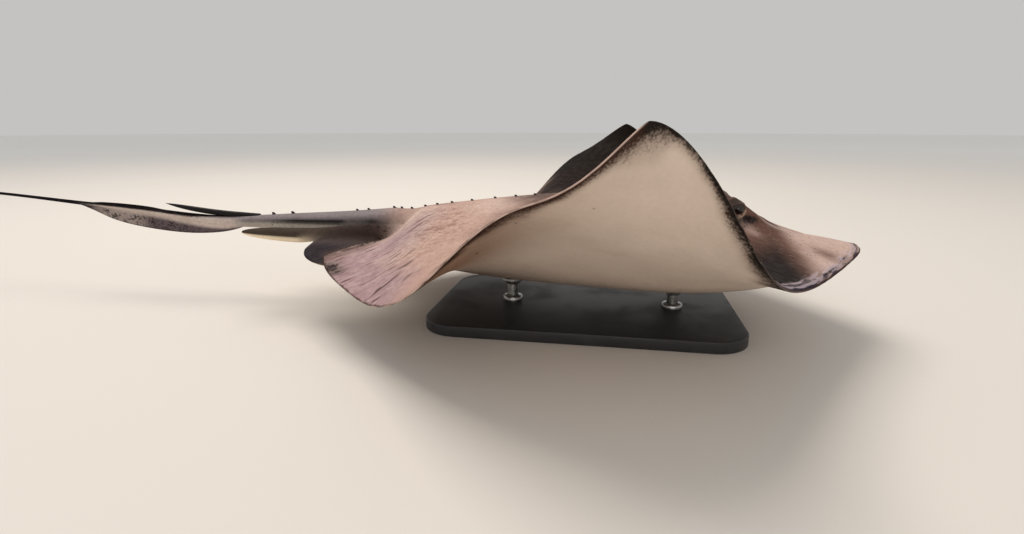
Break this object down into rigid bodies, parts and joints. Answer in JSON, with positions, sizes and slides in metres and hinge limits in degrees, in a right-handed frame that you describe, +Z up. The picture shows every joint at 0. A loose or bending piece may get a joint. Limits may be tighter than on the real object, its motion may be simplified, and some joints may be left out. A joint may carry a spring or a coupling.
{
  "type": "southern stingray display model",
  "caption": "Life-size still model of a male southern stingray gliding with both wing-like fins raised, held over a flat base by short rods.",
  "frame": {"origin": "centre of the stand base's underside, on the floor", "axes": "+X towards the snout, +Y to the animal's left, +Z up; the tail runs towards -X"},
  "size_m": [1.636, 0.5843, 0.2053],
  "materials": {
    "skin_head": "satin",
    "skin_trunk": "satin",
    "skin_fins": "satin",
    "skin_pelvic": "satin",
    "skin_claspers": "satin",
    "skin_tail": "satin",
    "skin_whip": "satin",
    "sting": "satin",
    "eyes": "wet gloss",
    "stand_plate": "matt black coating",
    "stand_rods": "satin"
  },
  "bodies": {
    "root": {"head": "skin_head", "trunk": "skin_trunk", "pectoral_fin_left": "skin_fins", "pectoral_fin_right": "skin_fins", "pelvic_fin_left": "skin_pelvic", "pelvic_fin_right": "skin_pelvic", "clasper_left": "skin_claspers", "clasper_right": "skin_claspers", "tail_root": "skin_tail", "tail_middle": "skin_tail", "tail_whip_front": "skin_whip", "tail_whip_rear": "skin_whip", "sting": "sting", "eye_left": "eyes", "eye_right": "eyes", "stand_base": "stand_plate", "stand_rod_front": "stand_rods", "stand_rod_rear": "stand_rods"}
  },
  "joints": []
}
